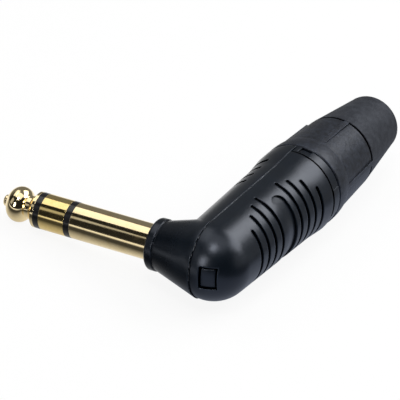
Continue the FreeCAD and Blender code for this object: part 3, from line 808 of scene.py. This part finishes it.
@dataclass(frozen=True)
class SeamBead(GrownPiece):
    """Fine uneven moulding line that stands proud along the cover's edge of the seam.

    The ball share is the part of each half of the line that lies on the ball end. The
    line swells where a noise of the swell scale lies in or past the swell span.
    """

    name: str = "seam_bead"
    finish: Finish = SEAM_FINISH
    inset_front: float = 1.45 * MM
    inset_rear: float = 0.85 * MM
    edge_gap: float = 0.1 * MM
    front_radius: float = 7.0 * MM
    rear_radius: float = 7.65 * MM
    front_reach: float = 6.85 * MM
    ball_share: float = 0.32
    bead_radius: float = 0.008 * MM
    unevenness: float = 0.085 * MM
    swell_scale: float = 1.5 / MM
    swell_span: Span = (0.48, 0.66)
    sides: int = 6
    steps: int = 700

    def sizes(self) -> dict[str, float]:
        """Value of each of the tree's inputs, by the input's name."""
        return {"Inset": self.inset_front - self.edge_gap,
                "Slope": (self.inset_front - self.inset_rear) / BENCH.grip_length,
                "Front Radius": self.front_radius, "Front Reach": self.front_reach,
                "Taper": self.rear_radius - self.front_radius, "Lean": BENCH.grip_lean,
                "Length": BENCH.grip_length, "Ball Share": self.ball_share,
                "Bead Radius": self.bead_radius, "Unevenness": self.unevenness,
                "Swell Scale": self.swell_scale, "Sides": self.sides, "Steps": self.steps}

    def shape(self, sheet: NodeSheet, given: Sockets) -> Socket:
        """Lays the line over the ball end and the taper.

        Args:
            sheet: Geometry node tree.
            given: The tree's inputs.

        Returns:
            The line's tube.
        """
        line = sheet.add("GeometryNodeMeshLine", {"Count": given["Steps"],
                                                  "Offset": (0.0, 0.0, 0.0)})
        index = sheet.add("GeometryNodeInputIndex").outputs[0]
        # The share runs from -1 at one rear end over 0 at the ball's front to 1 at the other
        last = sheet.math("SUBTRACT", given["Steps"], 1.0)
        share = sheet.math("SUBTRACT", sheet.math("MULTIPLY", sheet.math(
            "DIVIDE", index, last), 2.0), 1.0)
        side = sheet.math("SIGN", share)
        reach = sheet.math("ABSOLUTE", share)
        turn = sheet.math("MULTIPLY", sheet.math("MINIMUM", sheet.math(
            "DIVIDE", reach, given["Ball Share"]), 1.0), math.pi / 2)
        past = sheet.math("MAXIMUM", sheet.math("SUBTRACT", reach, given["Ball Share"]), 0.0)
        straight = sheet.math("DIVIDE", past, sheet.math("SUBTRACT", 1.0, given["Ball Share"]))
        y_ball = sheet.math("MULTIPLY", sheet.math("COSINE", turn), given["Front Reach"])
        y = sheet.math("SUBTRACT", sheet.math("MULTIPLY", straight, given["Length"]), y_ball)
        x = sheet.math("SUBTRACT", sheet.math("MULTIPLY", y, given["Slope"]), given["Inset"])
        centre = sheet.math("MULTIPLY", sheet.math("SUBTRACT", straight, 1.0), given["Lean"])
        radius = sheet.math("MULTIPLY_ADD", straight, given["Taper"], given["Front Radius"])
        off = sheet.math("SUBTRACT", x, centre)
        rest = sheet.math("SUBTRACT", sheet.math("MULTIPLY", radius, radius),
                          sheet.math("MULTIPLY", off, off))
        rest = sheet.math("SUBTRACT", rest, sheet.math("MULTIPLY", y_ball, y_ball))
        z = sheet.math("MULTIPLY", sheet.math("SQRT", sheet.math("MAXIMUM", rest, 0.0)), side)
        spot = sheet.add("ShaderNodeCombineXYZ", {0: x, 1: y, 2: z})
        laid = sheet.add("GeometryNodeSetPosition", {"Geometry": line.outputs[0],
                                                     "Position": spot.outputs[0]})
        path = sheet.add("GeometryNodeMeshToCurve", {0: laid.outputs[0]})
        swell = sheet.add("ShaderNodeTexNoise", {"Scale": given["Swell Scale"], "Detail": 2.0})
        grown = sheet.math("MULTIPLY_ADD", sheet.ramp(swell.outputs[0], *self.swell_span),
                           given["Unevenness"], given["Bead Radius"])
        ring = sheet.add("GeometryNodeCurvePrimitiveCircle", {"Resolution": given["Sides"],
                                                              "Radius": 1.0})
        tube = sheet.add("GeometryNodeCurveToMesh", {"Curve": path.outputs[0],
                                                     "Profile Curve": ring.outputs[0],
                                                     "Scale": grown, "Fill Caps": True})
        return tube.outputs[0]


@dataclass(frozen=True)
class Assembly:
    """A group of pieces that are put together."""

    pieces: tuple[SolidPiece | GrownPiece, ...]

    def build(self) -> list[bpy.types.Object]:
        """Builds the pieces in their order."""
        return [piece.build() for piece in self.pieces]


@dataclass(frozen=True)
class Shaft(Assembly):
    """Gilded contacts of the plug with the black bands between them."""

    pieces: tuple[SolidPiece, ...] = (
        SolidPiece("tip_contact", "gilded_tip", GOLD_FINISH, on_shaft=True),
        SolidPiece("tip_insulator", "tip_band", BAND_FINISH, on_shaft=True),
        SolidPiece("ring_contact", "gilded_ring", RING_FINISH, on_shaft=True),
        SolidPiece("ring_insulator", "ring_band", BAND_FINISH, on_shaft=True),
        SolidPiece("sleeve_contact", "gilded_sleeve", GOLD_FINISH, on_shaft=True),
    )


@dataclass(frozen=True)
class SolderStack(Assembly):
    """Lugs, washers and the toothed ring behind the shoulder."""

    pieces: tuple[SolidPiece, ...] = (
        SolidPiece("sleeve_lug", "lug_of_sleeve", TINNED_FINISH, on_shaft=True),
        SolidPiece("sleeve_washer", "washer_of_sleeve", WASHER_FINISH, on_shaft=True),
        SolidPiece("ring_lug", "lug_of_ring", TINNED_FINISH, on_shaft=True),
        SolidPiece("ring_washer", "washer_of_ring", WASHER_FINISH, on_shaft=True),
        SolidPiece("tip_lug", "lug_of_tip", TINNED_FINISH, on_shaft=True),
        SolidPiece("push_nut", "toothed_ring", STEEL_FINISH, on_shaft=True),
    )


@dataclass(frozen=True)
class Housing(Assembly):
    """The two moulded halves, the line along their seam and the thread on the neck."""

    pieces: tuple[SolidPiece | GrownPiece, ...] = (
        SolidPiece("carrier_half", "housing_carrier", HOUSING_FINISH),
        SolidPiece("cover_half", "housing_cover", COVER_FINISH),
        SeamBead(),
        NeckThread(),
    )


@dataclass(frozen=True)
class CableEnd(Assembly):
    """Jaws that grip the cable, the nut that closes them and its rubber end."""

    pieces: tuple[SolidPiece, ...] = (
        SolidPiece("chuck", "cable_chuck", CHUCK_FINISH, Body.CHUCK),
        SolidPiece("boot_nut", "panelled_nut", NUT_FINISH, Body.BOOT),
        SolidPiece("rubber_boot", "rubber_end", RUBBER_FINISH, Body.BOOT),
    )


@dataclass(frozen=True)
class SoftBox:
    """An area lamp that looks at the plug.

    The bearing is 0 towards -Y, -90 towards -X and 180 towards +Y, and the height is the
    angle above the horizon, both in degrees. Distance, width and tall are in metres.
    """

    name: str
    bearing: float
    height: float
    distance: float
    width: float
    tall: float
    radiance: float

    def build(self, aim: Vector) -> bpy.types.Object:
        """Makes the lamp.

        Args:
            aim: Point that it looks at.

        Returns:
            The lamp object.
        """
        turn, rise = math.radians(self.bearing), math.radians(self.height)
        towards = Vector((math.sin(turn) * math.cos(rise), -math.cos(turn) * math.cos(rise),
                          math.sin(rise)))
        lamp = bpy.data.lights.new(self.name, "AREA")
        lamp.shape = "RECTANGLE"
        lamp.size, lamp.size_y = self.width, self.tall
        lamp.energy = self.radiance * math.pi * self.width * self.tall
        thing = bpy.data.objects.new(self.name, lamp)
        thing.location = aim + towards * self.distance
        thing.rotation_euler = towards.to_track_quat("Z", "Y").to_euler()
        bpy.context.scene.collection.objects.link(thing)
        return thing


def seen_directly(sheet: NodeSheet) -> Socket:
    """Gives 1 for what the camera sees, also through a clear piece, and 0 otherwise."""
    rays = sheet.add("ShaderNodeLightPath").outputs
    return sheet.math("MAXIMUM", rays["Is Camera Ray"], rays["Is Transmission Ray"])


@dataclass(frozen=True)
class Floor:
    """Pale floor, white to the camera, with painted shadows and fields of painted light and shade
    that the plug mirrors.

    A span says where a painted shadow or field begins on the floor and where it is full.
    """

    reach: float = 1.5
    tone: float = 0.88
    fleck: float = 0.02
    fleck_scale: float = 400.0
    fleck_span: Span = (0.3, 0.7)
    # Mirrored rays see a glow share and painted tones: painted light by the shaft, painted shade
    # by the grip, dark painted shadows
    glow_seen: float = 0.9
    glow_mirrored: float = 0.7
    shaft_light_tone: float = 0.95
    grip_shade_colour: Colour = (0.45, 0.49, 0.59)
    shadow_tone: float = 0.05
    far_tone: float = 0.3
    grip_side: Span = (-2 * MM, 10 * MM)
    far_side: Span = (55 * MM, 80 * MM)
    nose_shadow_rear: Span = (2 * MM, -10 * MM)
    nose_shadow_front: Span = (-28 * MM, -18 * MM)
    nose_shadow_end: Span = (14 * MM, 4 * MM)
    front_shade: Span = (-48 * MM, -58 * MM)
    side_shadow: Span = (36 * MM, 50 * MM)
    side_shadow_end: Span = (80 * MM, 60 * MM)

    def mirrored(self, sheet: NodeSheet, place: Socket) -> Socket:
        """Tone of the floor as the plug mirrors it, with painted shadows in front and beside.

        Args:
            sheet: Tree of the floor's material.
            place: Object coordinates of the floor.

        Returns:
            The tone.
        """
        across, along, _ = sheet.split(place)
        # Painted shadows in front of the shaft and beside the grip, and a painted dark band far in
        # front
        nose = sheet.math("MULTIPLY", sheet.ramp(along, *self.nose_shadow_rear, shape="SMOOTHSTEP"),
                          sheet.ramp(along, *self.nose_shadow_front))
        nose = sheet.math("MULTIPLY", nose, sheet.ramp(across, *self.nose_shadow_end))
        front = sheet.math("MAXIMUM", nose, sheet.ramp(along, *self.front_shade))
        beside = sheet.math("MULTIPLY", sheet.ramp(across, *self.side_shadow),
                            sheet.ramp(along, *self.side_shadow_end))
        # Painted light by the shaft, painted shade by the grip, and a dimmer floor far behind
        near = sheet.blend(sheet.ramp(across, *self.grip_side), rgba((self.shaft_light_tone,) * 3),
                           rgba(self.grip_shade_colour))
        bare = sheet.blend(sheet.ramp(along, *self.far_side), near, rgba((self.far_tone,) * 3))
        return sheet.blend(sheet.math("MAXIMUM", front, beside), bare,
                           rgba((self.shadow_tone,) * 3))

    def new_material(self) -> bpy.types.Material:
        """Mixes a matt and a glowing floor, so that it keeps the shadow; mirrored rays see the
        painted tones mostly as glow.

        Returns:
            The floor's material.
        """
        material = bpy.data.materials.new("pale_floor")
        material.use_nodes = True
        sheet = NodeSheet(material.node_tree)
        place = sheet.add("ShaderNodeTexCoord").outputs["Object"]
        fleck = sheet.noise(place, self.fleck_scale, detail=2.0)
        pale = sheet.ramp(fleck, *self.fleck_span, self.tone, self.tone + self.fleck)
        seen = seen_directly(sheet)
        mirrored = self.mirrored(sheet, place)
        matt = sheet.add("ShaderNodeBsdfDiffuse", {"Color": sheet.blend(seen, mirrored, pale)})
        glow = sheet.add("ShaderNodeEmission", {"Color": sheet.blend(seen, mirrored, rgba(WHITE))})
        share = sheet.ramp(seen, 0, 1, self.glow_mirrored, self.glow_seen)
        mixed = sheet.add("ShaderNodeMixShader", {0: share, 1: matt.outputs[0],
                                                  2: glow.outputs[0]})
        sheet.add("ShaderNodeOutputMaterial", {0: mixed.outputs[0]})
        return material

    def build(self) -> bpy.types.Object:
        """Lays the floor under the plug.

        Returns:
            The floor object.
        """
        mesh = bpy.data.meshes.new("floor")
        corners = [(x * self.reach, y * self.reach, BENCH.floor_height)
                   for x, y in ((-1, -1), (1, -1), (1, 1), (-1, 1))]
        mesh.from_pydata(corners, [], [(0, 1, 2, 3)])
        mesh.materials.append(self.new_material())
        floor = bpy.data.objects.new("floor", mesh)
        bpy.context.scene.collection.objects.link(floor)
        return floor


@dataclass(frozen=True)
class Studio:
    """Floor, soft lamps, plain room and the camera of the photograph.

    The room fades from dim to pale with the share of a direction that goes along +Y.
    The camera's turn is in degrees, about X, Y and Z.
    """

    floor: Floor = Floor()
    aim: Point = (0.008, 0.022, 0.002)
    lamps: tuple[SoftBox, ...] = (
        SoftBox("key_box", bearing=143, height=46, distance=0.6, width=0.58, tall=0.33,
                radiance=4.5),
        SoftBox("top_box", bearing=0, height=83, distance=0.7, width=0.80, tall=0.48,
                radiance=1.15),
        SoftBox("back_box", bearing=-98, height=53, distance=0.6, width=0.45, tall=0.28,
                radiance=1.2),
        SoftBox("side_box", bearing=108, height=18, distance=0.7, width=0.60, tall=0.36,
                radiance=0.40),
        SoftBox("high_spot", bearing=7, height=61, distance=0.7, width=0.18, tall=0.20,
                radiance=10.0),
        SoftBox("front_spot", bearing=-8, height=18, distance=0.7, width=0.17, tall=0.28,
                radiance=7.6),
        SoftBox("strip_box", bearing=-48, height=22, distance=0.7, width=0.28, tall=0.40,
                radiance=0.45),
    )
    room_near: float = 0.015
    room_far: float = 0.18
    room_fade: Span = (-0.1, 0.45)
    camera_place: Point = (0.197040, -0.443175, 0.303839)
    camera_turn: Point = (58.3933, -8.5656, 28.4737)
    lens: float = 304.208
    sensor: float = 36.0
    clip: Span = (0.01, 10.0)

    def room(self) -> None:
        """Sets the room: dim near the camera, pale behind the plug, white to the camera."""
        world = bpy.data.worlds.new("room")
        world.use_nodes = True
        bpy.context.scene.world = world
        sheet = NodeSheet(world.node_tree)
        way = sheet.add("ShaderNodeTexCoord").outputs["Generated"]
        plain = sheet.ramp(sheet.split(way)[1], *self.room_fade, self.room_near, self.room_far)
        level = sheet.math("MAXIMUM", plain, seen_directly(sheet))
        air = sheet.add("ShaderNodeBackground", {"Color": level, "Strength": 1.0})
        sheet.add("ShaderNodeOutputWorld", {0: air.outputs[0]})

    def camera(self) -> bpy.types.Object:
        """Sets the camera where the photograph was taken from.

        Returns:
            The camera object.
        """
        data = bpy.data.cameras.new("camera")
        data.lens, data.sensor_width = self.lens, self.sensor
        data.clip_start, data.clip_end = self.clip
        camera = bpy.data.objects.new("camera", data)
        turn = Euler([math.radians(angle) for angle in self.camera_turn])
        camera.matrix_world = Matrix.LocRotScale(self.camera_place, turn, None)
        bpy.context.scene.collection.objects.link(camera)
        bpy.context.scene.camera = camera
        return camera

    def build(self) -> None:
        """Sets up floor, room, lamps and camera."""
        self.floor.build()
        self.room()
        for lamp in self.lamps:
            lamp.build(Vector(self.aim))
        self.camera()
        bpy.context.scene.view_settings.view_transform = "Standard"


def main() -> None:
    """Builds the plug piece by piece, then the studio round it."""
    logging.basicConfig(level=logging.INFO, format="%(name)s: %(message)s")
    for assembly in (Shaft(), SolderStack(), Housing(), CableEnd()):
        for piece in assembly.build():
            log.info("%s: %s has %d faces", type(assembly).__name__, piece.name,
                     len(piece.data.polygons))
    Studio().build()


if __name__ == "__main__":
    main()
